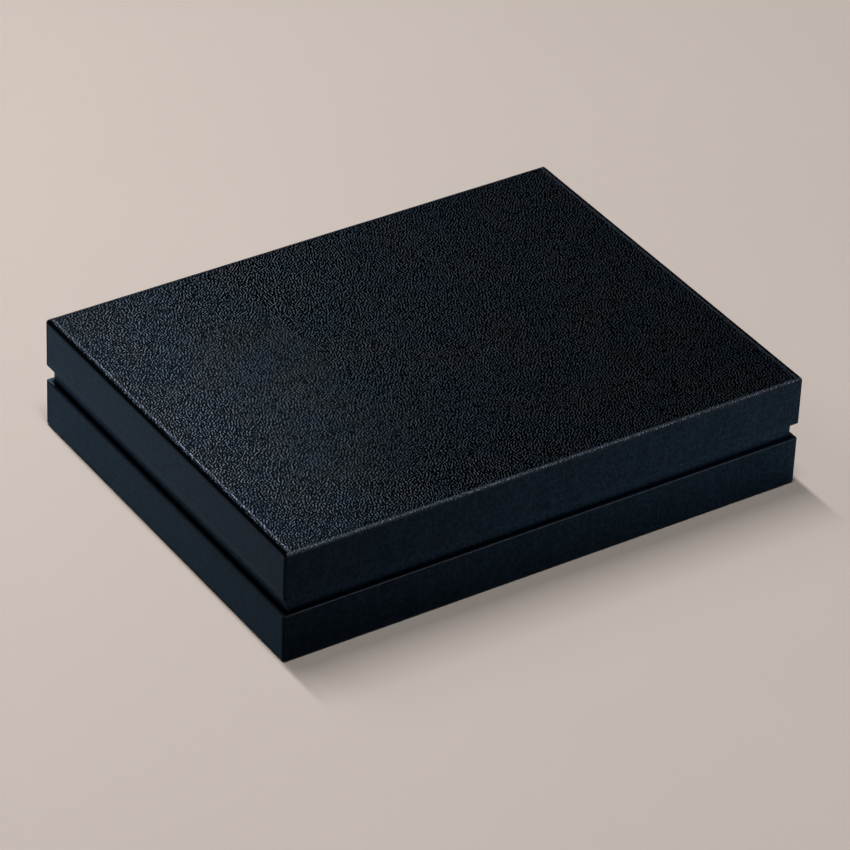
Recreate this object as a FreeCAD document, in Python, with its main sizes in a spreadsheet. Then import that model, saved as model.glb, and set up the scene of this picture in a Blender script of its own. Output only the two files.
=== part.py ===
# Gift box with a neck (shoulder) and a lift-off lid, in millimetres.
# The base and the lid are trays of greyboard panels, taped at the corners and wrapped in leatherette.
# The neck is a board frame glued inside the base. It stands above the base's rim, and the lid rests on it.
# The origin is the centre of the underside: +X along the box, -Y the front, +Z up.

import FreeCAD, Part
import os

import Sketcher

doc = FreeCAD.newDocument("neck_box")

DRIVING_SIZES = (
    ("overall_length", 220.0, "outside of the box along X"),
    ("overall_width", 169.3, "outside of the box along Y"),
    ("base_height", 19.9, "from the table to the base's rim"),
    ("reveal_gap", 6.5, "open groove between the base's rim and the lid's rim"),
    ("lid_height", 20.1, "from the lid's rim to its top"),
    ("board_thickness", 1.5, "greyboard of both trays"),
    ("neck_board_thickness", 1.5, "greyboard of the neck"),
    ("wrap_thickness", 0.2, "leatherette over the trays"),
    ("neck_wrap_thickness", 0.25, "covering over the neck"),
    ("lining_thickness", 0.3, "lining sheets inside the floor and the lid"),
    ("underside_thickness", 0.3, "sheet under the base"),
    ("underside_margin", 2.5, "from the base's edge in to the underside sheet's edge"),
    ("sheet_corner_radius", 2.0, "cut corners of the underside sheet"),
    ("base_turn_in", 15.0, "wrap turned in over the base's rim, behind the neck"),
    ("turn_under", 14.0, "wrap turned under the base's floor board"),
    ("corner_radius", 1.0, "upright outer corners of both trays"),
    ("fold_radius", 1.0, "outer edges round the lid's top and the base's underside"),
    ("rim_radius", 0.4, "wrap folded over the rims"),
    ("neck_corner_radius", 0.9, "upright outer corners of the neck"),
    ("neck_rim_radius", 0.4, "covering folded over the neck's top edge"),
    ("neck_side_gap", 0.15, "glue bed beside the base, and running gap inside the lid"),
    ("seat_gap", 0.1, "air between a rounded board edge and the wrap's bend"),
    ("lining_trim", 0.2, "lining sheets cut short of the walls"),
    ("stay_thickness", 0.15, "paper stay, pressed flush into the boards"),
    ("stay_leg", 12.0, "stay's reach from the corner, each way"),
    ("stay_margin", 1.0, "stay stops short of the wall's two ends"),
)

TOLERANCE = 1e-4


def grouped(text):
    return "(" + text + ")"


# Outline sizes, as expressions of the sheet's cells.
LENGTH = "Sizes.overall_length"
WIDTH = "Sizes.overall_width"
TRAY_BUILD_UP = grouped("2 * Sizes.wrap_thickness + Sizes.board_thickness")
NECK_BUILD_UP = grouped("2 * Sizes.neck_wrap_thickness + Sizes.neck_board_thickness")
BOARD_LENGTH = grouped(f"{LENGTH} - 2 * Sizes.wrap_thickness")
BOARD_WIDTH = grouped(f"{WIDTH} - 2 * Sizes.wrap_thickness")
TRAY_INSIDE_LENGTH = grouped(f"{LENGTH} - 2 * {TRAY_BUILD_UP}")
TRAY_INSIDE_WIDTH = grouped(f"{WIDTH} - 2 * {TRAY_BUILD_UP}")
NECK_LENGTH = grouped(f"{TRAY_INSIDE_LENGTH} - 2 * Sizes.neck_side_gap")
NECK_WIDTH = grouped(f"{TRAY_INSIDE_WIDTH} - 2 * Sizes.neck_side_gap")
NECK_BOARD_LENGTH = grouped(f"{NECK_LENGTH} - 2 * Sizes.neck_wrap_thickness")
NECK_BOARD_WIDTH = grouped(f"{NECK_WIDTH} - 2 * Sizes.neck_wrap_thickness")
NECK_INSIDE_LENGTH = grouped(f"{NECK_LENGTH} - 2 * {NECK_BUILD_UP}")
NECK_INSIDE_WIDTH = grouped(f"{NECK_WIDTH} - 2 * {NECK_BUILD_UP}")

# Levels above the table.
FLOOR_BOARD_LOW = "Sizes.underside_thickness"
FLOOR_TOP = grouped(f"{FLOOR_BOARD_LOW} + Sizes.board_thickness")
BASE_WALL_TOP = grouped("Sizes.base_height - Sizes.wrap_thickness")
LID_RIM = grouped("Sizes.base_height + Sizes.reveal_gap")
LID_WALL_LOW = grouped(f"{LID_RIM} + Sizes.wrap_thickness")
BOX_TOP = grouped(f"{LID_RIM} + Sizes.lid_height")
LID_BOARD_LOW = grouped(f"{BOX_TOP} - Sizes.wrap_thickness - Sizes.board_thickness")
LINING_LOW = grouped(f"{LID_BOARD_LOW} - Sizes.lining_thickness")
NECK_BOARD_TOP = grouped(f"{LINING_LOW} - Sizes.neck_wrap_thickness")

# Radii that follow the outer ones.
WRAP_CORNER_INSIDE = grouped("Sizes.corner_radius - Sizes.wrap_thickness")
WRAP_FOLD_INSIDE = grouped("Sizes.fold_radius - Sizes.wrap_thickness")
BOARD_CORNER = grouped(f"{WRAP_CORNER_INSIDE} + Sizes.seat_gap")
BOARD_FOLD = grouped(f"{WRAP_FOLD_INSIDE} + Sizes.seat_gap")
NECK_WRAP_CORNER_INSIDE = grouped("Sizes.neck_corner_radius - Sizes.neck_wrap_thickness")
NECK_BOARD_CORNER = grouped(f"{NECK_WRAP_CORNER_INSIDE} + Sizes.seat_gap")

# Depths of the trays' wraps, measured from the rim towards the panel.
BASE_WRAP_DEPTH = grouped("Sizes.base_height - Sizes.underside_thickness")
LID_TURN_IN = grouped(f"Sizes.lid_height - {TRAY_BUILD_UP}")


def makeSheet():
    sheet = doc.addObject("Spreadsheet::Sheet", "Sizes")
    for row, (alias, millimetres, note) in enumerate(DRIVING_SIZES, start=1):
        sheet.set(f"A{row}", alias)
        sheet.set(f"B{row}", str(millimetres))
        sheet.set(f"C{row}", note)
        sheet.setAlias(f"B{row}", alias)
    doc.recompute()
    return sheet


sizes = makeSheet()


def value(expression):
    """What an expression of the sheet's cells comes to now, in millimetres."""
    result = sizes.evalExpression(expression.replace("Sizes.", ""))
    return float(getattr(result, "Value", result))


# ---- sketches and features


def newBody(label):
    body = doc.addObject("PartDesign::Body", label)
    body.Label = label
    return body


def originPlane(body, role):
    for feature in body.Origin.OriginFeatures:
        if feature.Role == role:
            return feature
    raise LookupError(role)


def emptySketch(body, name, level):
    sketch = body.newObject("Sketcher::SketchObject", name)
    sketch.AttachmentSupport = [(originPlane(body, "XY_Plane"), "")]
    sketch.MapMode = "FlatFace"
    sketch.setExpression("AttachmentOffset.Base.z", level)
    return sketch


def bindDistance(sketch, kind, line, name, expression):
    number = sketch.addConstraint(
        Sketcher.Constraint(kind, line, 1, line, 2, value(expression))
    )
    sketch.renameConstraint(number, name)
    sketch.setExpression(f"Constraints.{name}", expression)


def addOutline(sketch, points):
    """A closed outline of straight lines, by turns along X and along Y. Returns its first line."""
    first = sketch.GeometryCount
    corners = [FreeCAD.Vector(x, y, 0) for x, y in points]
    for start, end in zip(corners, corners[1:] + corners[:1]):
        sketch.addGeometry(Part.LineSegment(start, end))
    for side in range(len(corners)):
        following = first + (side + 1) % len(corners)
        sketch.addConstraint(Sketcher.Constraint("Coincident", first + side, 2, following, 1))
        direction = "Vertical" if side % 2 else "Horizontal"
        sketch.addConstraint(Sketcher.Constraint(direction, first + side))
    return first


def addRectangle(sketch, name, along, across):
    """A rectangle centred on the sketch's origin."""
    half_x = value(along) / 2
    half_y = value(across) / 2
    first = addOutline(
        sketch, ((-half_x, -half_y), (half_x, -half_y), (half_x, half_y), (-half_x, half_y))
    )
    sketch.addConstraint(Sketcher.Constraint("Symmetric", first, 1, first + 2, 1, -1, 1))
    bindDistance(sketch, "DistanceX", first, f"{name}_along", along)
    bindDistance(sketch, "DistanceY", first + 1, f"{name}_across", across)


def rectangleSketch(body, name, along, across, level="0"):
    sketch = emptySketch(body, name, level)
    addRectangle(sketch, "outline", along, across)
    return sketch


def ringSketch(body, name, outer, inner, level="0"):
    """Two centred rectangles, each given as (along, across)."""
    sketch = emptySketch(body, name, level)
    addRectangle(sketch, "outer", *outer)
    addRectangle(sketch, "inner", *inner)
    return sketch


def pad(body, sketch, name, thickness):
    feature = body.newObject("PartDesign::Pad", name)
    feature.Profile = sketch
    feature.setExpression("Length", thickness)
    doc.recompute()
    return feature


def pocketUp(body, sketch, name, depth):
    """Cuts from the sketch's plane upwards."""
    before = body.Shape.Volume
    feature = body.newObject("PartDesign::Pocket", name)
    feature.Profile = sketch
    feature.Reversed = True
    feature.setExpression("Length", depth)
    doc.recompute()
    if body.Shape.Volume > before - TOLERANCE:
        raise RuntimeError(f"{body.Label}: {name} cut nothing")
    return feature


def near(first, second):
    return abs(first - second) < TOLERANCE


def isUpright(edge):
    start, end = (vertex.Point for vertex in edge.Vertexes)
    return near(start.x, end.x) and near(start.y, end.y)


def edgesWhere(shape, chosen, upright):
    return [
        f"Edge{number}"
        for number, edge in enumerate(shape.Edges, start=1)
        if len(edge.Vertexes) == 2
        and isUpright(edge) == upright
        and all(chosen(vertex.Point) for vertex in edge.Vertexes)
    ]


def roundEdges(body, name, radius, chosen, expected, upright=True):
    """Rounds the edges whose two ends are both at chosen points."""
    base = body.Tip
    names = edgesWhere(base.Shape, chosen, upright)
    if len(names) != expected:
        raise RuntimeError(f"{body.Label}: {name} found {len(names)} edges, not {expected}")
    feature = body.newObject("PartDesign::Fillet", name)
    feature.Base = (base, names)
    feature.setExpression("Radius", radius)
    doc.recompute()


def roundUprights(body, name, radius, along, across):
    """Rounds the four upright edges at the corners of a centred rectangle."""
    half_x = value(along) / 2
    half_y = value(across) / 2

    def atCorner(point):
        return near(abs(point.x), half_x) and near(abs(point.y), half_y)

    roundEdges(body, name, radius, atCorner, 4)


def roundLoop(body, name, radius, along, across, level, expected=8):
    """Rounds the level loop of edges that follows a centred rectangle: 4 edges, or 8 with rounded corners."""
    half_x = value(along) / 2
    half_y = value(across) / 2
    height = value(level)

    def onLoop(point):
        on_side = near(abs(point.x), half_x) and abs(point.y) < half_y + TOLERANCE
        on_end = near(abs(point.y), half_y) and abs(point.x) < half_x + TOLERANCE
        return near(point.z, height) and (on_side or on_end)

    roundEdges(body, name, radius, onLoop, expected, upright=False)


def stand(item, x="0", y="0", z="0"):
    item.setExpression("Placement.Base.x", x)
    item.setExpression("Placement.Base.y", y)
    item.setExpression("Placement.Base.z", z)


# ---- flat sheets and tray panels


def makeSheetPiece(label, along, across, thickness, low, corner=None):
    """A flat sheet or board, centred on the box."""
    body = newBody(label)
    pad(body, rectangleSketch(body, "outline", along, across), "thickness", thickness)
    if corner:
        roundUprights(body, "cut_corners", corner, along, across)
    stand(body, z=low)
    return body


def makeLidTopBoard():
    body = makeSheetPiece(
        "lid_top_board", BOARD_LENGTH, BOARD_WIDTH, "Sizes.board_thickness", LID_BOARD_LOW, BOARD_CORNER
    )
    roundLoop(body, "top_edges", BOARD_FOLD, BOARD_LENGTH, BOARD_WIDTH, "Sizes.board_thickness")
    return body


def makeBaseFloorBoard():
    """The board's underside is pressed in round its edge by the wrap that is turned under it."""
    body = makeSheetPiece(
        "base_floor_board", BOARD_LENGTH, BOARD_WIDTH, "Sizes.board_thickness", FLOOR_BOARD_LOW, BOARD_CORNER
    )
    inner = (f"{LENGTH} - 2 * Sizes.turn_under", f"{WIDTH} - 2 * Sizes.turn_under")
    ring = ringSketch(body, "turned_under_ring", (LENGTH, WIDTH), inner)
    pocketUp(body, ring, "turned_under_rebate", "Sizes.wrap_thickness")
    roundLoop(body, "lower_edges", BOARD_FOLD, BOARD_LENGTH, BOARD_WIDTH, "Sizes.wrap_thickness")
    return body


# ---- walls: four boards butted at the corners, front and back running the full length


def makeStays(label, along, across, low, top, corner):
    """Four strips, each bent round an upright corner and flush with the boards' outer faces."""
    leg = value("Sizes.stay_leg")
    skin = value("Sizes.stay_thickness")
    body = newBody(f"{label}_right_back")
    angle = emptySketch(body, "angle", "0")
    addOutline(angle, ((0, 0), (-leg, 0), (-leg, -skin), (-skin, -skin), (-skin, -leg), (0, -leg)))
    angle.addConstraint(Sketcher.Constraint("Coincident", 0, 1, -1, 1))
    bindDistance(angle, "Distance", 0, "leg_along", "Sizes.stay_leg")
    bindDistance(angle, "Distance", 5, "leg_across", "Sizes.stay_leg")
    bindDistance(angle, "Distance", 1, "skin_along", "Sizes.stay_thickness")
    bindDistance(angle, "Distance", 4, "skin_across", "Sizes.stay_thickness")
    pad(body, angle, "height", f"{top} - {low} - 2 * Sizes.stay_margin")
    inner = f"{corner} - Sizes.stay_thickness"
    roundEdges(body, "outer_bend", corner, lambda p: near(p.x, 0) and near(p.y, 0), 1)
    roundEdges(body, "inner_bend", inner, lambda p: near(p.x, -skin) and near(p.y, -skin), 1)
    stand(body, f"{along} / 2", f"{across} / 2", f"{low} + Sizes.stay_margin")
    left_back = mirror(body, f"{label}_left_back", FreeCAD.Vector(1, 0, 0))
    right_front = mirror(body, f"{label}_right_front", FreeCAD.Vector(0, 1, 0))
    left_front = mirror(left_back, f"{label}_left_front", FreeCAD.Vector(0, 1, 0))
    stays = doc.addObject("Part::Compound", label)
    stays.Label = label
    stays.Links = [body, left_back, right_front, left_front]
    doc.recompute()
    return stays


def mirror(source, name, normal):
    feature = doc.addObject("Part::Mirroring", name)
    feature.Source = source
    feature.Normal = normal
    doc.recompute()
    return feature


def makeWall(label, along, across, low, top, x, y, stays, corner=None, outward=0):
    """One wall board. With a corner radius, its two outer ends are rounded; outward is -1 or 1 in Y."""
    body = newBody(f"{label}_blank")
    pad(body, rectangleSketch(body, "outline", along, across), "height", f"{top} - {low}")
    if corner:
        half_x = value(along) / 2
        face = outward * value(across) / 2
        roundEdges(body, "outer_ends", corner, lambda p: near(abs(p.x), half_x) and near(p.y, face), 2)
    stand(body, x, y, low)
    wall = doc.addObject("Part::Cut", label)
    wall.Label = label
    wall.Base = body
    wall.Tool = stays
    doc.recompute()
    return wall


def makeWalls(prefix, along, across, thickness, low, top, corner):
    """Four wall boards and their corner stays, inside a centred rectangle."""
    stays = makeStays(f"{prefix}_corner_stays", along, across, low, top, corner)
    y_middle = f"({across} - {thickness}) / 2"
    x_middle = f"({along} - {thickness}) / 2"
    between = f"{across} - 2 * {thickness}"
    return [
        stays,
        makeWall(f"{prefix}_front_board", along, thickness, low, top, "0", f"-{y_middle}", stays, corner, -1),
        makeWall(f"{prefix}_back_board", along, thickness, low, top, "0", y_middle, stays, corner, 1),
        makeWall(f"{prefix}_left_board", thickness, between, low, top, f"-{x_middle}", "0", stays),
        makeWall(f"{prefix}_right_board", thickness, between, low, top, x_middle, "0", stays),
    ]


# ---- wraps


def makeTrayWrap(label, depth, turn_in):
    """The leatherette of one tray, its rim at level 0 and its panel above: outer skin, rim and turn-in."""
    wrap = "Sizes.wrap_thickness"
    turned = grouped(f"{wrap} + {turn_in}")
    panel = grouped(f"{depth} - {wrap}")
    between_walls = (
        f"{BOARD_LENGTH} - 2 * Sizes.board_thickness",
        f"{BOARD_WIDTH} - 2 * Sizes.board_thickness",
    )
    body = newBody(label)
    pad(body, rectangleSketch(body, "outline", LENGTH, WIDTH), "block", depth)
    room = rectangleSketch(body, "panel_room_outline", BOARD_LENGTH, BOARD_WIDTH, turned)
    pocketUp(body, room, "panel_room", f"{panel} - {turned}")
    ring = ringSketch(body, "wall_room_outline", (BOARD_LENGTH, BOARD_WIDTH), between_walls, wrap)
    pocketUp(body, ring, "wall_room", turn_in)
    hollow = rectangleSketch(body, "hollow_outline", TRAY_INSIDE_LENGTH, TRAY_INSIDE_WIDTH)
    pocketUp(body, hollow, "hollow", turned)
    roundUprights(body, "corners_inside", WRAP_CORNER_INSIDE, BOARD_LENGTH, BOARD_WIDTH)
    roundLoop(body, "folded_edges_inside", WRAP_FOLD_INSIDE, BOARD_LENGTH, BOARD_WIDTH, panel)
    roundUprights(body, "corners", "Sizes.corner_radius", LENGTH, WIDTH)
    roundLoop(body, "folded_edges", "Sizes.fold_radius", LENGTH, WIDTH, depth)
    roundLoop(body, "rim_outside", "Sizes.rim_radius", LENGTH, WIDTH, "0")
    roundLoop(body, "rim_inside", "Sizes.rim_radius", TRAY_INSIDE_LENGTH, TRAY_INSIDE_WIDTH, "0", 4)
    return body


def makeLidWrap():
    body = makeTrayWrap("lid_wrap", "Sizes.lid_height", LID_TURN_IN)
    stand(body, z=LID_RIM)
    return body


def makeBaseWrap():
    """The base's wrap stands rim up, and is open under the floor inside its turned-under margin."""
    body = makeTrayWrap("base_wrap", BASE_WRAP_DEPTH, "Sizes.base_turn_in")
    along = f"{LENGTH} - 2 * Sizes.turn_under"
    across = f"{WIDTH} - 2 * Sizes.turn_under"
    panel = f"{BASE_WRAP_DEPTH} - Sizes.wrap_thickness"
    opening = rectangleSketch(body, "underside_outline", along, across, panel)
    pocketUp(body, opening, "underside_opening", "Sizes.wrap_thickness")
    body.Placement.Rotation = FreeCAD.Rotation(FreeCAD.Vector(1, 0, 0), 180)
    stand(body, z="Sizes.base_height")
    return body


def makeNeckWrap():
    """One covering over the neck's outer face, top edge and inner face."""
    skin = "Sizes.neck_wrap_thickness"
    depth = grouped(f"{LINING_LOW} - {FLOOR_TOP}")
    between_boards = (
        f"{NECK_BOARD_LENGTH} - 2 * Sizes.neck_board_thickness",
        f"{NECK_BOARD_WIDTH} - 2 * Sizes.neck_board_thickness",
    )
    body = newBody("neck_wrap")
    frame = ringSketch(
        body, "outline", (NECK_LENGTH, NECK_WIDTH), (NECK_INSIDE_LENGTH, NECK_INSIDE_WIDTH)
    )
    pad(body, frame, "height", depth)
    ring = ringSketch(body, "board_room_outline", (NECK_BOARD_LENGTH, NECK_BOARD_WIDTH), between_boards)
    pocketUp(body, ring, "board_room", f"{depth} - {skin}")
    roundUprights(body, "corners_inside", NECK_WRAP_CORNER_INSIDE, NECK_BOARD_LENGTH, NECK_BOARD_WIDTH)
    roundUprights(body, "corners", "Sizes.neck_corner_radius", NECK_LENGTH, NECK_WIDTH)
    roundLoop(body, "rim_outside", "Sizes.neck_rim_radius", NECK_LENGTH, NECK_WIDTH, depth)
    roundLoop(
        body, "rim_inside", "Sizes.neck_rim_radius", NECK_INSIDE_LENGTH, NECK_INSIDE_WIDTH, depth, 4
    )
    stand(body, z=FLOOR_TOP)
    return body


# ---- the three assemblies


def makeBase():
    underside_along = f"{LENGTH} - 2 * Sizes.underside_margin"
    underside_across = f"{WIDTH} - 2 * Sizes.underside_margin"
    lining_along = f"{NECK_INSIDE_LENGTH} - 2 * Sizes.lining_trim"
    lining_across = f"{NECK_INSIDE_WIDTH} - 2 * Sizes.lining_trim"
    walls = makeWalls(
        "base", BOARD_LENGTH, BOARD_WIDTH, "Sizes.board_thickness", FLOOR_TOP, BASE_WALL_TOP, BOARD_CORNER
    )
    underside = makeSheetPiece(
        "base_underside_sheet", underside_along, underside_across,
        "Sizes.underside_thickness", "0", "Sizes.sheet_corner_radius",
    )
    lining = makeSheetPiece(
        "base_floor_lining", lining_along, lining_across, "Sizes.lining_thickness", FLOOR_TOP
    )
    return [makeBaseFloorBoard(), *walls, makeBaseWrap(), underside, lining]


def makeNeck():
    walls = makeWalls(
        "neck", NECK_BOARD_LENGTH, NECK_BOARD_WIDTH, "Sizes.neck_board_thickness",
        FLOOR_TOP, NECK_BOARD_TOP, NECK_BOARD_CORNER,
    )
    return [*walls, makeNeckWrap()]


def makeLid():
    lining_along = f"{TRAY_INSIDE_LENGTH} - 2 * Sizes.lining_trim"
    lining_across = f"{TRAY_INSIDE_WIDTH} - 2 * Sizes.lining_trim"
    walls = makeWalls(
        "lid", BOARD_LENGTH, BOARD_WIDTH, "Sizes.board_thickness", LID_WALL_LOW, LID_BOARD_LOW, BOARD_CORNER
    )
    lining = makeSheetPiece(
        "lid_ceiling_lining", lining_along, lining_across, "Sizes.lining_thickness", LINING_LOW
    )
    return [makeLidTopBoard(), *walls, makeLidWrap(), lining]


def checkModel(pieces):
    for item in doc.Objects:
        if "Invalid" in item.State or "Error" in item.State:
            raise RuntimeError(f"{item.Label} failed: {item.State}")
    for piece in pieces:
        if piece.Shape.isNull() or not piece.Shape.isValid() or not piece.Shape.Solids:
            raise RuntimeError(f"{piece.Label} has no valid solid")


def writePieces(pieces):
    os.makedirs("parts", exist_ok=True)
    for piece in pieces:
        piece.Shape.exportStep(f"parts/{piece.Label}.step")
        print(f"{piece.Label}: {len(piece.Shape.Solids)} solid(s), {piece.Shape.Volume:.1f} mm3")


pieces = makeBase() + makeNeck() + makeLid()
doc.recompute()
checkModel(pieces)
writePieces(pieces)
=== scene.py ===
import math

import bmesh
import bpy
from mathutils import Matrix, Vector


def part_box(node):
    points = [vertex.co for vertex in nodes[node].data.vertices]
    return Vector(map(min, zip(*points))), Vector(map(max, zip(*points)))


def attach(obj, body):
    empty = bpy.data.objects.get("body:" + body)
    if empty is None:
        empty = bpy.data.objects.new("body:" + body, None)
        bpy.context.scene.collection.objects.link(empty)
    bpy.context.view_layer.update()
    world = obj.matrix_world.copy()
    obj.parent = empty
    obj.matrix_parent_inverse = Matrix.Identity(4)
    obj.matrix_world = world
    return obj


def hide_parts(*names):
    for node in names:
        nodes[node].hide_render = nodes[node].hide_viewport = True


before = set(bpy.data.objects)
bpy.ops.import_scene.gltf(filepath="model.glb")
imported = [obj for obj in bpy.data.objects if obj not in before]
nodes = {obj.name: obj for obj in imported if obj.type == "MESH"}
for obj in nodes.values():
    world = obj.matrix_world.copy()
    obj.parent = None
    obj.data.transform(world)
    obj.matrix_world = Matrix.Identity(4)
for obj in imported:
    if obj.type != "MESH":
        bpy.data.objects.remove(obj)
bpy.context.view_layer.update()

mm = 0.001
scene = bpy.context.scene

touching = 0.02 * mm        # places closer than this are the same place
welded = 0.002 * mm         # and points closer than this become one
alongAxis = 0.9             # least share of a direction that follows an axis
squareToAxis = 0.1          # most share of a direction that runs square to one
gridMargin = 4 * mm         # from an outer face to the first cut of a sheet's grid
smoothBelow = 32            # degrees between two faces that are shaded as one
longSideFirst = 1.3         # at a corner, how much further round the long side's grain goes


def selectNothing():
    if bpy.context.object and bpy.context.object.mode == "EDIT":
        bpy.ops.object.mode_set(mode="OBJECT")
    bpy.ops.object.select_all(action="DESELECT")


def startBlock(name, low, high):
    selectNothing()
    bpy.ops.mesh.primitive_cube_add(size=1, location=(low + high) / 2)
    piece = bpy.context.object
    piece.name = piece.data.name = name
    piece.scale = high - low
    bpy.ops.object.transform_apply(location=True, rotation=False, scale=True)
    bpy.ops.object.mode_set(mode="EDIT")
    return piece


def pickFaces(piece, wanted):
    bpy.ops.mesh.select_mode(type="FACE")
    bpy.ops.mesh.select_all(action="DESELECT")
    cage = bmesh.from_edit_mesh(piece.data)
    for face in cage.faces:
        face.select_set(wanted(face.calc_center_median(), face.normal))
    bmesh.update_edit_mesh(piece.data)


def pickEdges(piece, wanted):
    bpy.ops.mesh.select_mode(type="EDGE")
    bpy.ops.mesh.select_all(action="DESELECT")
    cage = bmesh.from_edit_mesh(piece.data)
    for edge in cage.edges:
        a, b = (v.co for v in edge.verts)
        edge.select_set(wanted((a + b) / 2, (b - a).normalized()))
    bmesh.update_edit_mesh(piece.data)


def near(a, b):
    return abs(a - b) < touching


def upright(halfX, halfY):
    # the four upright corner edges at that half length and half width
    return lambda at, way: abs(way.z) > alongAxis and near(abs(at.x), halfX) and near(abs(at.y), halfY)


def level(z, halfX, halfY):
    # the four level edges that run round at that height
    return lambda at, way: (
        near(at.z, z) and abs(way.z) < squareToAxis
        and (near(abs(at.x), halfX) and abs(way.y) > alongAxis
             or near(abs(at.y), halfY) and abs(way.x) > alongAxis))


def roundFolds(piece, steps, *folds):
    # one bevel for all the folds of a sheet, so that folds of unlike radius meet cleanly at its corners
    largest = max(radius for radius, edges in folds)
    for radius, edges in folds:
        pickEdges(piece, edges)
        bpy.ops.transform.edge_bevelweight(value=radius / largest)
    bpy.ops.object.mode_set(mode="OBJECT")
    bevel = piece.modifiers.new("folds", "BEVEL")
    bevel.limit_method = "WEIGHT"
    bevel.width = largest
    bevel.segments = steps
    bevel.use_clamp_overlap = False
    bpy.ops.object.modifier_apply(modifier="folds")
    bpy.ops.object.mode_set(mode="EDIT")


def addInnerWalls(low, high):
    # a second block inside the first one, turned inside out
    bpy.ops.mesh.select_all(action="DESELECT")
    bpy.ops.mesh.primitive_cube_add(size=1, location=(low + high) / 2, scale=high - low)
    bpy.ops.mesh.flip_normals()


def deleteLevelFaces(piece, heights):
    pickFaces(piece, lambda at, way: abs(way.z) > alongAxis and any(near(at.z, z) for z in heights))
    bpy.ops.mesh.delete(type="FACE")


def bridgeRim(piece, z):
    pickEdges(piece, lambda at, way: near(at.z, z) and abs(way.z) < squareToAxis)
    bpy.ops.mesh.bridge_edge_loops()


def cutThrough(axis, distance):
    # one cut all through the sheet, square to an axis
    way = Vector((0, 0, 0))
    way[axis] = 1
    bpy.ops.mesh.select_all(action="SELECT")
    bpy.ops.mesh.bisect(plane_co=way * distance, plane_no=way)


def cutGrid(low, high, step):
    # enough faces for the sheet to be a little uneven
    for axis in range(3):
        first = low[axis] + gridMargin
        span = high[axis] - low[axis] - 2 * gridMargin
        count = max(1, round(span / step))
        for i in range(count + 1):
            cutThrough(axis, first + i * span / count)


def rollShoulder(piece, top, look):
    # the panel's edges are pressed down a little before the sheet turns over the fold
    fold, reach = look["fold"], look["shoulderReach"]
    for axis in (0, 1):
        for share in (0.25, 0.5, 0.75, 1.0):
            for side in (-1, 1):
                cutThrough(axis, side * (top[axis] - fold - share * reach))
    pickEdges(piece, level(top.z, top.x - fold, top.y - fold))
    bpy.ops.transform.translate(
        value=(0, 0, -look["shoulderDrop"]), use_proportional_edit=True, use_proportional_connected=True,
        proportional_edit_falloff="SHARP", proportional_size=reach)


def cutCornerSeams(piece, look, top, low, high):
    # the side flaps end just short of the corners, over the tabs that come round them
    outer = top.y - look["corner"] - look["seamInset"]
    inner = outer - look["seamWidth"]
    for side in (-1, 1):
        for edge in (outer, inner):
            cutThrough(1, side * edge)
    for z in (low, high):
        cutThrough(2, z)
    for side in (-1, 1):
        pickFaces(piece, lambda at, way: (
            way.x * side > alongAxis and near(abs(at.x), top.x)
            and inner < abs(at.y) < outer and low < at.z < high))
        bpy.ops.mesh.extrude_region_move(TRANSFORM_OT_translate={"value": (-side * look["seamDepth"], 0, 0)})


def tidySheet():
    # one clean sheet with all its faces outwards, before it is given its thickness
    bpy.ops.mesh.select_all(action="SELECT")
    bpy.ops.mesh.remove_doubles(threshold=welded)
    bpy.ops.mesh.normals_make_consistent(inside=False)
    selectNothing()


def makeUneven(piece, name, look):
    texture = bpy.data.textures.new(name, "CLOUDS")
    texture.noise_scale = look["unevenSize"]
    texture.noise_depth = 1
    uneven = piece.modifiers.new("uneven", "DISPLACE")
    uneven.texture = texture
    uneven.texture_coords = "LOCAL"
    uneven.strength = look["uneven"]
    uneven.mid_level = 0.5
    bpy.ops.object.modifier_apply(modifier="uneven")


def giveThickness(piece, thickness):
    sheet = piece.modifiers.new("sheet", "SOLIDIFY")
    sheet.thickness = thickness
    sheet.offset = -1
    bpy.ops.object.modifier_apply(modifier="sheet")


def layFlat(piece, top):
    # the lay of the grain in millimetres: each flap carries on from the panel that it folds down from
    lay = piece.data.uv_layers.new(name="sheetLay")
    corners = piece.data.vertices
    halfX, halfY, panelZ = (size / mm for size in top)
    for face in piece.data.polygons:
        n = face.normal
        for i in face.loop_indices:
            x, y, z = corners[piece.data.loops[i].vertex_index].co / mm
            if abs(n.z) >= max(abs(n.x), abs(n.y)):
                spot = (x, y)
            elif longSideFirst * abs(n.y) >= abs(n.x):
                spot = (x, math.copysign(halfY + abs(panelZ - z), y))
            else:
                spot = (math.copysign(halfX + abs(panelZ - z), x), y)
            lay.data[i].uv = spot


def markPoints(piece, name, *parts):
    # for the material, an amount from 0 to 1 at each point: the most that any part gives there
    marks = piece.data.attributes.new(name, "FLOAT", "POINT")
    for i, v in enumerate(piece.data.vertices):
        marks.data[i].value = max(part(v.co) for part in parts)


def finishPiece(piece, body, slot, material, *stoodFor):
    selectNothing()
    piece.select_set(True)
    bpy.context.view_layer.objects.active = piece
    bpy.ops.object.shade_smooth_by_angle(angle=math.radians(smoothBelow))
    piece.data.materials.clear()
    piece.data.materials.append(material)
    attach(piece, body)
    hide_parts(*stoodFor)
    print(piece.name, "has", len(piece.data.polygons), "faces")


def startMaterial(name):
    material = bpy.data.materials.new(name)
    material.use_nodes = True
    tree = material.node_tree
    return material, tree, tree.nodes["Principled BSDF"]


def addNode(tree, kind, inputs=None, **settings):
    node = tree.nodes.new(kind)
    for key, value in settings.items():
        setattr(node, key, value)
    for key, value in (inputs or {}).items():
        if isinstance(value, bpy.types.NodeSocket):
            tree.links.new(value, node.inputs[key])
        else:
            node.inputs[key].default_value = value
    return node


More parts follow.
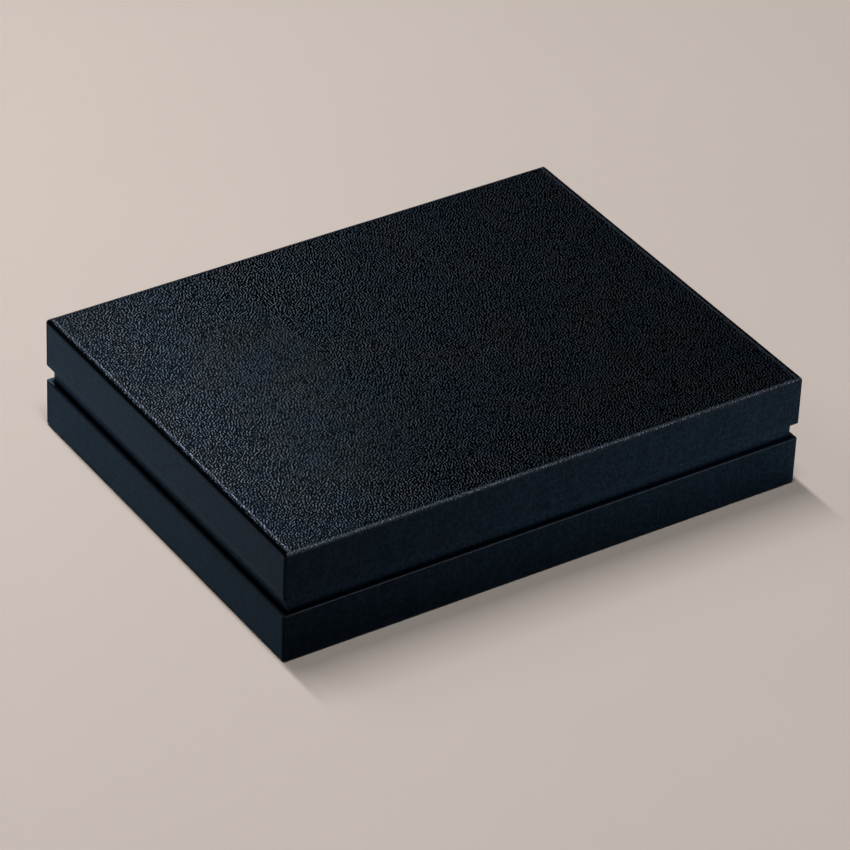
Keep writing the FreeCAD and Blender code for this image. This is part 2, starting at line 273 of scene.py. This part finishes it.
def noise(tree, place, scale, detail=2.0, roughness=0.5, distortion=0.0):
    node = addNode(tree, "ShaderNodeTexNoise", {
        "Vector": place, "Scale": scale, "Detail": detail, "Roughness": roughness, "Distortion": distortion})
    return node.outputs["Fac"]


def remap(tree, value, low, high, to=(0.0, 1.0), smooth=True):
    node = addNode(tree, "ShaderNodeMapRange", {
        "Value": value, "From Min": low, "From Max": high, "To Min": to[0], "To Max": to[1]},
        interpolation_type="SMOOTHSTEP" if smooth else "LINEAR")
    return node.outputs["Result"]


def combine(tree, operation, a, b):
    node = addNode(tree, "ShaderNodeMath", {0: a, 1: b}, operation=operation)
    return node.outputs[0]


def multiply(tree, first, *others):
    for other in others:
        first = combine(tree, "MULTIPLY", first, other)
    return first


def blendColours(tree, factor, a, b):
    node = addNode(tree, "ShaderNodeMix", data_type="RGBA")
    for key, value in (("Factor", factor), ("A", a), ("B", b)):
        kind = "VALUE" if key == "Factor" else "RGBA"
        socket = next(s for s in node.inputs if s.name == key and s.type == kind)
        if isinstance(value, bpy.types.NodeSocket):
            tree.links.new(value, socket)
        else:
            socket.default_value = value
    return next(s for s in node.outputs if s.type == "RGBA")


def raiseSurface(tree, shader, height, distance, strength=1.0):
    bump = addNode(tree, "ShaderNodeBump", {"Height": height, "Distance": distance, "Strength": strength})
    tree.links.new(bump.outputs["Normal"], shader.inputs["Normal"])


# the grain is laid in millimetres along the sheet, and the streaks, clouds and depth in metres on the box
trayLeatherette = {
    "grainTurn": 60,            # degrees from the long side, the way the ridges run
    "ridgeStep": 1.1,           # mm from one ridge to the next
    "run": 1.7,                 # ridges side by side before they part
    "order": 0.50,              # 1 is all one way, 0 is every way
    "crease": (0.505, 0.590),   # where the grain goes from crease to ridge
    "breakScale": 1.0,
    "breaks": (0.35, 0.50),     # where a ridge is broken off, and where it is whole
    "grainHeight": 0.05 * mm,
    "poreScale": 5.0,
    "poreHeight": 0.15,         # share of the grain height
    "smoothed": 0.0,            # how much of the grain is lost
    "low": (0.0000, 0.0000, 0.0001, 1),
    "lowLit": (0.0058, 0.0076, 0.0100, 1),
    "litEnd": (-0.11, -0.03),  # painted light: the creases are lighter at the left end of the top
    "high": (0.0355, 0.047, 0.0605, 1),
    "cool": (0.029, 0.046, 0.069, 1),
    "warm": (0.044, 0.050, 0.059, 1),
    "patchScale": 0.045,        # of the cooler and warmer patches
    "patches": (0.35, 0.65),
    "drawn": (1, 1, 0.12),      # the streaks are drawn out up the walls
    "streakScale": 700,
    "streaks": 0.0,             # how far the streaks are lighter and darker
    "cloudScale": 750,
    "mottle": 0.0,              # and the small clouds between them
    "depthWay": (1.0, 1.3, 0.0),    # away from the front left corner
    "depthSpan": (-0.22, 0.0),
    "depth": (1.0, 1.0),        # painted shade: tone at that corner, and away from it
    "paintedShadeTone": 0.04,         # what is left of the tone under the painted shade
    # worn edges, paler and glossier: partly real wear, partly a painted highlight
    "rubbedSheen": (0.070, 0.088, 0.115, 1),
    "fleckScale": 0.9,
    "flecks": (0.42, 0.58),
    "leastFleck": 0.70,         # rubbing between the flecks, and in the creases
    "leastCrease": 0.45,
    "roughness": (0.36, 0.80),  # on the ridges, and in the creases
    "rubbedSheenRoughness": 0.22,
    "tint": (0.50, 0.50, 0.50, 1),
}

# the walls were rubbed down hard as they were glued, which left them smoother and plainer
wallLeatherette = dict(
    trayLeatherette,
    low=(0.0066, 0.0138, 0.0240, 1),
    lowLit=(0.0066, 0.0138, 0.0240, 1),
    high=(0.0130, 0.0255, 0.0434, 1),
    cool=(0.0090, 0.0210, 0.0372, 1),
    warm=(0.0114, 0.0204, 0.0324, 1),
    # on the rims: partly real wear, partly a painted highlight
    rubbedSheen=(0.062, 0.065, 0.072, 1),
    roughness=(0.40, 0.46),
    rubbedSheenRoughness=0.5,
    tint=(0.69, 0.80, 0.93, 1),
    smoothed=0.7,
    streaks=0.13,
    mottle=0.20,
    # painted shade: the walls darker towards the front left corner and lighter away from it
    depth=(0.6, 1.7),
)
# painted shade and light: copies of the wall leatherette, the base's painted a little darker and the neck's,
# which stands in the lid's shade, painted much lighter
baseLeatherette = dict(wallLeatherette, tint=(0.63, 0.74, 0.87, 1), depth=(0.52, 1.55))
neckLeatherette = dict(wallLeatherette, depth=(0.9, 2.3))


def makeLeatherette(name, look):
    material, tree, shader = startMaterial(name)
    lay = addNode(tree, "ShaderNodeUVMap", uv_map="sheetLay").outputs["UV"]
    place = addNode(tree, "ShaderNodeTexCoord").outputs["Object"]

    # ridges about a step apart that run roughly one way, swing, part and join
    turned = addNode(tree, "ShaderNodeMapping", {
        "Vector": lay, "Rotation": (0, 0, math.radians(90 - look["grainTurn"]))}).outputs[0]
    grain = addNode(tree, "ShaderNodeTexGabor", {
        "Vector": turned, "Scale": 1 / (look["ridgeStep"] * look["run"]), "Frequency": look["run"],
        "Anisotropy": look["order"], "Orientation": 0.0}, gabor_type="2D").outputs["Value"]
    breaks = remap(tree, noise(tree, lay, look["breakScale"], 1.0), *look["breaks"])
    wrinkles = multiply(tree, remap(tree, grain, *look["crease"]), breaks)
    pores = noise(tree, lay, look["poreScale"], 2.0, 0.6)
    height = combine(tree, "ADD", wrinkles, multiply(tree, pores, look["poreHeight"]))
    raiseSurface(tree, shader, height, look["grainHeight"], 1.0 - look["smoothed"])

    # darker in the creases, partly the grain's own two tones and partly painted shade, and a little cooler
    # or warmer from patch to patch
    patches = remap(tree, noise(tree, lay, look["patchScale"], 2.0), *look["patches"])
    crest = blendColours(tree, 0.5, look["high"], blendColours(tree, patches, look["cool"], look["warm"]))
    along = addNode(tree, "ShaderNodeSeparateXYZ", {"Vector": place}).outputs["X"]
    # painted light: the creases are lighter at the left end of the top
    litCreases = remap(tree, along, *look["litEnd"], (1.0, 0.0))
    base = blendColours(tree, wrinkles, blendColours(tree, litCreases, look["low"], look["lowLit"]), crest)

    # faint upright streaks and clouds, painted shade deepening the tone towards the front left corner and
    # lifting it away from it, and near-black painted shade on the short sides' folds and beside the corners
    drawn = addNode(tree, "ShaderNodeMapping", {"Vector": place, "Scale": look["drawn"]}).outputs[0]
    streak, mottle = look["streaks"], look["mottle"]
    streakNoise = noise(tree, drawn, look["streakScale"], 3.0, 0.6)
    streaks = remap(tree, streakNoise, 0.3, 0.7, (1 - streak, 1 + streak))
    cloudNoise = noise(tree, place, look["cloudScale"], 1.0)
    clouds = remap(tree, cloudNoise, 0.35, 0.65, (1 - mottle, 1 + mottle))
    across = addNode(tree, "ShaderNodeVectorMath", {0: place, 1: look["depthWay"]}, operation="DOT_PRODUCT")
    depth = remap(tree, across.outputs["Value"], *look["depthSpan"], look["depth"], smooth=False)
    paintedShade = addNode(tree, "ShaderNodeAttribute", attribute_name="paintedShade").outputs["Fac"]
    tone = multiply(
        tree, streaks, clouds, depth, remap(tree, paintedShade, 0, 1, (1.0, look["paintedShadeTone"]), smooth=False))
    base = addNode(tree, "ShaderNodeVectorMath", {0: base, "Scale": tone}, operation="SCALE").outputs[0]

    # paler and glossier where it is rubbed: partly real wear, partly a painted highlight along the rims and
    # the lid's edges
    rubbedSheenMark = addNode(tree, "ShaderNodeAttribute", attribute_name="rubbedSheen").outputs["Fac"]
    fleckNoise = noise(tree, lay, look["fleckScale"], 2.0, 0.6)
    flecks = remap(tree, fleckNoise, *look["flecks"], (look["leastFleck"], 1.0))
    rubbedSheenAmount = multiply(tree, rubbedSheenMark, flecks, remap(tree, wrinkles, 0, 1, (look["leastCrease"], 1.0)))
    tree.links.new(blendColours(tree, rubbedSheenAmount, base, look["rubbedSheen"]), shader.inputs["Base Color"])

    onRidge, inCrease = look["roughness"]
    grained = remap(tree, wrinkles, 0, 1, (inCrease, onRidge), smooth=False)
    roughness = addNode(tree, "ShaderNodeMix", {"Factor": rubbedSheenAmount, "A": grained, "B": look["rubbedSheenRoughness"]})
    tree.links.new(roughness.outputs["Result"], shader.inputs["Roughness"])

    # the lacquer is dyed, so all of its gloss takes the colour
    # and the tint keeps the creases dark at a slant
    shader.inputs["Metallic"].default_value = 1.0
    shader.inputs["Specular Tint"].default_value = look["tint"]
    return material


liningPaper = {
    "shades": ((0.0150, 0.0155, 0.0165, 1), (0.0260, 0.0265, 0.0275, 1)),
    "specks": (0.045, 0.045, 0.046, 1),
    "speckFrom": 0.66,          # the higher, the fewer
    "fibre": 900,
    "stretch": (1, 0.35, 1),    # the fibres lie across the sheet
    "cloud": 60,
    "tooth": 0.03 * mm,
    "roughness": 0.82,
    "roughnessSwing": 0.06,
    "gloss": 0.3,
}
undersidePaper = dict(
    liningPaper,
    shades=((0.010, 0.0105, 0.0115, 1), (0.018, 0.0185, 0.0195, 1)),
    fibre=700,
    roughness=0.76,
)
greyBoard = dict(
    liningPaper,
    shades=((0.20, 0.185, 0.165, 1), (0.30, 0.285, 0.26, 1)),
    specks=(0.10, 0.095, 0.09, 1),
    speckFrom=0.62,
    fibre=450,
    tooth=0.05 * mm,
    roughness=0.9,
)
stayKraft = dict(
    liningPaper,
    shades=((0.33, 0.21, 0.11, 1), (0.42, 0.28, 0.16, 1)),
    specks=(0.20, 0.12, 0.06, 1),
    speckFrom=0.63,
    fibre=800,
    tooth=0.02 * mm,
    roughness=0.7,
)


def makePaper(name, look):
    material, tree, shader = startMaterial(name)
    place = addNode(tree, "ShaderNodeTexCoord").outputs["Object"]
    stretched = addNode(tree, "ShaderNodeMapping", {"Vector": place, "Scale": look["stretch"]}).outputs[0]
    cloud = noise(tree, place, look["cloud"], 3.0)
    fibres = noise(tree, stretched, look["fibre"] * 2, 3.0, 0.65, 0.6)
    both = combine(tree, "ADD", multiply(tree, cloud, 0.5), multiply(tree, fibres, 0.5))
    shade = blendColours(tree, remap(tree, both, 0.36, 0.62), *look["shades"])
    first = look["speckFrom"]
    specks = remap(tree, noise(tree, stretched, look["fibre"] * 3, 1.0), first, first + 0.05)
    tree.links.new(blendColours(tree, specks, shade, look["specks"]), shader.inputs["Base Color"])
    middle, swing = look["roughness"], look["roughnessSwing"]
    roughness = remap(tree, fibres, 0.3, 0.7, (middle - swing, middle + swing))
    tree.links.new(roughness, shader.inputs["Roughness"])
    raiseSurface(tree, shader, fibres, look["tooth"])
    shader.inputs["Specular IOR Level"].default_value = look["gloss"]
    return material


leatherette = makeLeatherette("leatherette", trayLeatherette)
lidWalls = makeLeatherette("lid wall leatherette", wallLeatherette)
baseWalls = makeLeatherette("base leatherette", baseLeatherette)
neckCovering = makeLeatherette("neck leatherette", neckLeatherette)
lining = makePaper("lining paper", liningPaper)
underside = makePaper("underside paper", undersidePaper)
board = makePaper("greyboard", greyBoard)
kraft = makePaper("stay paper", stayKraft)
print("materials made")


# where the sheets are rubbed and carry a painted highlight, and where shade is painted on them; the shares
# are of a fold or of the shoulder
sheenAndShadePlaces = {
    "rimFade": 0.36 * mm,       # from the rim's edge to where its rubbing ends
    "rimDepth": 0.6 * mm,       # and how far in from the outer face it goes
    "shoulderDepth": 1 * mm,
    "shoulderShares": (0.3, 0.9),
    "foldShare": 0.97,
    "tabEdge": 0.15 * mm,       # how far past the corner's rounding the tab shows
    "shadeEdge": 0.05 * mm,
    "shadeFade": 0.1 * mm,
}


def wallOf(wrapNode, boardNode):
    # the sheet's own thickness, and the whole wall of sheet, board and sheet
    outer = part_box(wrapNode)[0].y
    boardLow, boardHigh = (corner.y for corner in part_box(boardNode))
    sheet = boardLow - outer
    return sheet, boardHigh + sheet - outer


def rubbedSheenOnRim(top, rimZ, amount):
    # rubbed and painted highlight along the rim's outer edge, and gone where the wall begins
    def sheenAt(at):
        side = max(abs(at.x) - top.x, abs(at.y) - top.y)
        fade = max(0.0, 1 - abs(at.z - rimZ) / sheenAndShadePlaces["rimFade"])
        return amount * fade if side > -sheenAndShadePlaces["rimDepth"] else 0.0

    return sheenAt


def rubbedSheenOnShoulder(top, look, amount):
    # rubbed and painted highlight along the shoulders of the short sides, where the lid is gripped
    # and gone where the sheet turns over
    first, last = sheenAndShadePlaces["shoulderShares"]

    def sheenAt(at):
        onTop = at.z > top.z - sheenAndShadePlaces["shoulderDepth"] and top.y - abs(at.y) > look["fold"]
        share = (top.x - abs(at.x) - look["fold"]) / look["shoulderReach"]
        return amount if onTop and first < share < last else 0.0

    return sheenAt


def rubbedSheenOnLongFolds(top, look, amount):
    # rubbed and painted highlight all round the folds of the long sides, where the hands run
    rubbedSheen = sheenAndShadePlaces["foldShare"] * look["fold"]

    def sheenAt(at):
        insetY = top.y - abs(at.y)
        onFold = insetY < rubbedSheen and top.z - at.z < rubbedSheen and insetY < top.x - abs(at.x)
        return amount if onFold else 0.0

    return sheenAt


def paintShadeByCorners(top, look):
    # painted shade beside each upright corner, where the short side's flap ends over the tab
    def shadeAt(at):
        insetX, insetY = top.x - abs(at.x), top.y - abs(at.y)
        return 1.0 if insetX < insetY < look["corner"] + sheenAndShadePlaces["tabEdge"] else 0.0

    return shadeAt


def paintShadeOnFold(top, fold, band):
    # near-black painted shade where the sheet turns over the short sides
    # and for a little way below, standing in for the dark surroundings that the fold reflects
    def shadeAt(at):
        insetX, insetY = top.x - abs(at.x), top.y - abs(at.y)
        if insetX > fold - sheenAndShadePlaces["shadeEdge"] or insetX > insetY:
            return 0.0
        return min(1.0, max(0.0, (at.z - (top.z - fold - band)) / (band + sheenAndShadePlaces["shadeFade"])))

    return shadeAt


# the lid's leatherette is one sheet over the top, folded down, round the rim and up inside
lidSheet = {
    "corner": 1.0 * mm,
    "insideCorner": 0.4 * mm,
    "fold": 1.35 * mm,
    "rim": 0.4 * mm,
    "foldSteps": 8,
    "grid": 5 * mm,
    "shoulderReach": 1.6 * mm,
    "shoulderDrop": 0.12 * mm,
    "seamInset": 0.1 * mm,      # of the flaps' ends, from the corners' rounding
    "seamWidth": 0.35 * mm,
    "seamDepth": 0.14 * mm,
    "shadeBand": 0.9 * mm,       # of painted shade, below the fold
    "uneven": 0.07 * mm,
    "unevenSize": 18 * mm,
    "rimSheen": 0.3,
    "shoulderSheen": 0.9,
    "foldSheen": 0.9,
    "grainOnTop": 0.975,        # how level a face of the top is that keeps its grain
    "grainOnFold": 0.12,        # and one on the long sides' folds
    "foldWay": 2.5,             # how much more such a face looks along the width than along the length
}


def makeLid():
    look = lidSheet
    low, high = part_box("lid_wrap")
    sheet, wall = wallOf("lid_wrap", "lid_front_board")
    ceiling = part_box("lid_ceiling_lining")[1].z
    inside = Vector((high.x - wall, high.y - wall, ceiling))
    piece = startBlock("lid_leatherette", low, high)
    addInnerWalls(Vector((-inside.x, -inside.y, low.z)), inside)
    deleteLevelFaces(piece, (low.z, ceiling))
    bridgeRim(piece, low.z)
    roundFolds(
        piece, look["foldSteps"],
        (look["fold"], level(high.z, high.x, high.y)),
        (look["corner"], upright(high.x, high.y)),
        (look["rim"], level(low.z, high.x, high.y)),
        (look["rim"], level(low.z, inside.x, inside.y)),
        (look["insideCorner"], upright(inside.x, inside.y)))
    rollShoulder(piece, high, look)
    cutGrid(low, high, look["grid"])
    cutCornerSeams(piece, look, high, low.z + look["rim"], high.z - look["fold"] - look["shadeBand"])
    tidySheet()
    makeUneven(piece, "lid panels", look)
    layFlat(piece, high)
    # a rubbed and painted highlight along the rim, the short sides' shoulders and the long sides' folds
    markPoints(
        piece, "rubbedSheen", rubbedSheenOnRim(high, low.z, look["rimSheen"]),
        rubbedSheenOnShoulder(high, look, look["shoulderSheen"]), rubbedSheenOnLongFolds(high, look, look["foldSheen"]))
    # painted shade on the short sides' folds and beside the corners
    markPoints(
        piece, "paintedShade", paintShadeOnFold(high, look["fold"], look["shadeBand"]), paintShadeByCorners(high, look))
    giveThickness(piece, sheet)
    finishPiece(piece, "lid", "leatherette", lidWalls, "lid_wrap")

    # the grain is whole on the top and over the long sides' folds
    # and stops at the folds of the short sides
    piece.data.materials.append(leatherette)
    for face in piece.data.polygons:
        n = face.normal
        alongWidth = abs(n.y) > look["foldWay"] * abs(n.x) and abs(face.center.y) > high.y - look["fold"]
        overFold = n.z > look["grainOnFold"] and alongWidth
        if face.center.z > high.z - look["fold"] and (n.z > look["grainOnTop"] or overFold):
            face.material_index = 1


# the base's is folded up round the walls, over the rim and down inside, and turned under the floor
baseSheet = {
    "corner": 1.0 * mm,
    "insideCorner": 0.4 * mm,
    "fold": 1.0 * mm,
    "rim": 0.4 * mm,
    "foldSteps": 8,
    "grid": 5 * mm,
    "turnedUnder": 14 * mm,
    "turnedIn": 15 * mm,
    "seamInset": 0.1 * mm,
    "seamWidth": 0.35 * mm,
    "seamDepth": 0.14 * mm,
    "shadeBand": 0.3 * mm,       # of painted shade, below the rim
    "uneven": 0.07 * mm,
    "unevenSize": 20 * mm,
    "rimSheen": 1.0,
}


def makeBase():
    look = baseSheet
    low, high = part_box("base_wrap")
    sheet, wall = wallOf("base_wrap", "base_front_board")
    inside = Vector((high.x - wall, high.y - wall, high.z))
    turnInEnd = high.z - look["turnedIn"]
    piece = startBlock("base_leatherette", low, high)
    addInnerWalls(Vector((-inside.x, -inside.y, turnInEnd)), inside)
    deleteLevelFaces(piece, (turnInEnd, high.z))
    bridgeRim(piece, high.z)
    roundFolds(
        piece, look["foldSteps"],
        (look["fold"], level(low.z, high.x, high.y)),
        (look["corner"], upright(high.x, high.y)),
        (look["rim"], level(high.z, high.x, high.y)),
        (look["insideCorner"], level(high.z, inside.x, inside.y)),
        (look["insideCorner"], upright(inside.x, inside.y)))

    # the margin under the floor is what is left of its one face
    pickFaces(piece, lambda at, way: near(at.z, low.z) and near(at.xy.length, 0))
    bpy.ops.mesh.inset(thickness=look["turnedUnder"] - look["fold"])
    bpy.ops.mesh.delete(type="FACE")
    cutGrid(low, high, look["grid"])
    cutCornerSeams(piece, look, high, low.z + look["fold"], high.z - look["rim"] - look["shadeBand"])
    tidySheet()
    makeUneven(piece, "base walls", look)
    layFlat(piece, high)
    # a rubbed and painted highlight along the rim
    markPoints(piece, "rubbedSheen", rubbedSheenOnRim(high, high.z, look["rimSheen"]))
    # painted shade just below the rim on the short sides, and beside the corners
    markPoints(
        piece, "paintedShade", paintShadeOnFold(high, look["rim"], look["shadeBand"]), paintShadeByCorners(high, look))
    giveThickness(piece, sheet)
    finishPiece(piece, "base", "leatherette", baseWalls, "base_wrap")


# the neck's covering goes over its outer face, its top edge and its inner face
neckSheet = {
    "corner": 0.9 * mm,
    "insideCorner": 0.4 * mm,
    "rim": 0.4 * mm,
    "foldSteps": 6,
    "grid": 6 * mm,
    "uneven": 0.06 * mm,
    "unevenSize": 22 * mm,
    "rimSheen": 0.6,
}


def makeNeck():
    look = neckSheet
    low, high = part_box("neck_wrap")
    sheet, wall = wallOf("neck_wrap", "neck_front_board")
    inside = Vector((high.x - wall, high.y - wall, high.z))
    piece = startBlock("neck_covering", low, high)
    addInnerWalls(Vector((-inside.x, -inside.y, low.z)), inside)
    deleteLevelFaces(piece, (low.z, high.z))
    bridgeRim(piece, high.z)
    roundFolds(
        piece, look["foldSteps"],
        (look["corner"], upright(high.x, high.y)),
        (look["insideCorner"], upright(inside.x, inside.y)),
        (look["rim"], level(high.z, high.x, high.y)),
        (look["rim"], level(high.z, inside.x, inside.y)))
    cutGrid(low, high, look["grid"])
    tidySheet()
    makeUneven(piece, "neck walls", look)
    layFlat(piece, high)
    # a rubbed and painted highlight along the neck's rim
    markPoints(piece, "rubbedSheen", rubbedSheenOnRim(high, high.z, look["rimSheen"]))
    giveThickness(piece, sheet)
    finishPiece(piece, "base", "neck_covering", neckCovering, "neck_wrap")


makeLid()
makeBase()
makeNeck()

# the boards and papers keep their own shapes
nodeMaterials = {"_board": board, "_stays": kraft, "_lining": lining, "_underside_sheet": underside}
for name, node in nodes.items():
    for ending, material in nodeMaterials.items():
        if name.endswith(ending):
            node.data.materials.clear()
            node.data.materials.append(material)
print("pieces made")


studio = {
    "floor": (0.588, 0.513, 0.464),
    "floorShades": (0.985, 1.015),
    "floorClouds": 9,
    "floorRoughness": 0.9,
    "floorGloss": 0.1,
    "floorSize": 3.6,
    "surround": (0.5, 0.55, 0.62, 1),
    "surroundStrength": 0.03,
    "backdrop": (0.370, 0.333, 0.305, 1),       # beyond the floor, and lights nothing
}

# a lamp with no aim hangs straight down
lamps = {
    # the light itself: a strip high up behind, a fainter one in front, and a little pool at the back left
    "backStrip": {"place": (-0.06, 1.30, 3.6), "size": (0.14, 1.95), "power": 87.5},
    "frontStrip": {"place": (-0.22, -0.45, 2.5), "size": (0.36, 0.70), "power": 22.8},
    "floorPool": {"place": (-0.25, 0.35, 0.50), "size": (0.30, 0.30), "power": 0.8},
    # the rest only show in the gloss: on the top, and on the lid's left and front edges
    "topBar": {"place": (0.05, 0.27, 0.27), "size": (0.08, 0.26), "power": 0.56, "glossOnly": True},
    "leftGleam": {"place": (0.90, 1.70, 1.56), "size": (0.30, 0.35), "power": 1.9, "glossOnly": True,
                  "aim": (0, 0, 0)},
    "frontGleam": {"place": (1.15, -1.35, 1.75), "size": (0.60, 2.20), "power": 17, "glossOnly": True,
                   "aim": (0, 0, 0)},
}

cameraView = {
    "place": (-0.83015, -1.22976, 1.03199),
    "down": 34.491,             # degrees
    "turn": -34.097,
    "roll": -2.497,
    "lens": 206.93,
    "sensor": 36,
}


def makeFloor():
    selectNothing()
    bpy.ops.mesh.primitive_plane_add(size=studio["floorSize"])
    floor = bpy.context.object
    floor.name = "floor"
    material, tree, shader = startMaterial("floor card")
    place = addNode(tree, "ShaderNodeTexCoord").outputs["Object"]
    r, g, b = studio["floor"]
    shades = [(r * share, g * share, b * share, 1) for share in studio["floorShades"]]
    colour = blendColours(tree, noise(tree, place, studio["floorClouds"], 3.0), *shades)
    tree.links.new(colour, shader.inputs["Base Color"])
    shader.inputs["Roughness"].default_value = studio["floorRoughness"]
    shader.inputs["Specular IOR Level"].default_value = studio["floorGloss"]
    floor.data.materials.append(material)


def makeLight(name, look):
    lamp = bpy.data.lights.new(name, "AREA")
    lamp.shape = "RECTANGLE"
    lamp.size, lamp.size_y = look["size"]
    lamp.energy = look["power"]
    stand = bpy.data.objects.new(name, lamp)
    scene.collection.objects.link(stand)
    place = Vector(look["place"])
    aim = Vector(look.get("aim", (place.x, place.y, 0)))
    stand.location = place
    stand.rotation_euler = (aim - place).to_track_quat("-Z", "Y").to_euler()
    stand.visible_camera = False
    stand.visible_diffuse = not look.get("glossOnly", False)


def makeSurround():
    world = bpy.data.worlds.new("studio")
    scene.world = world
    world.use_nodes = True
    tree = world.node_tree
    background = tree.nodes["Background"]
    seen = addNode(tree, "ShaderNodeLightPath").outputs["Is Camera Ray"]
    colour = blendColours(tree, seen, studio["surround"], studio["backdrop"])
    tree.links.new(colour, background.inputs["Color"])
    strength = remap(tree, seen, 0, 1, (studio["surroundStrength"], 1.0), smooth=False)
    tree.links.new(strength, background.inputs["Strength"])


def makeCamera():
    down, turn, roll = (math.radians(cameraView[k]) for k in ("down", "turn", "roll"))
    back = Vector((math.sin(turn) * math.cos(down), -math.cos(turn) * math.cos(down), math.sin(down)))
    sideways = (-back).cross(Vector((0, 0, 1))).normalized()
    right = math.cos(roll) * sideways + math.sin(roll) * (-back).cross(sideways)
    turned = Matrix((right, back.cross(right), back)).transposed().to_4x4()
    camera = bpy.data.objects.new("camera", bpy.data.cameras.new("camera"))
    camera.data.lens = cameraView["lens"]
    camera.data.sensor_width = cameraView["sensor"]
    camera.matrix_world = Matrix.Translation(Vector(cameraView["place"])) @ turned
    scene.collection.objects.link(camera)
    scene.camera = camera


makeFloor()
for name, look in lamps.items():
    makeLight(name, look)
makeSurround()
makeCamera()
scene.view_settings.view_transform = "Standard"
print("studio made")
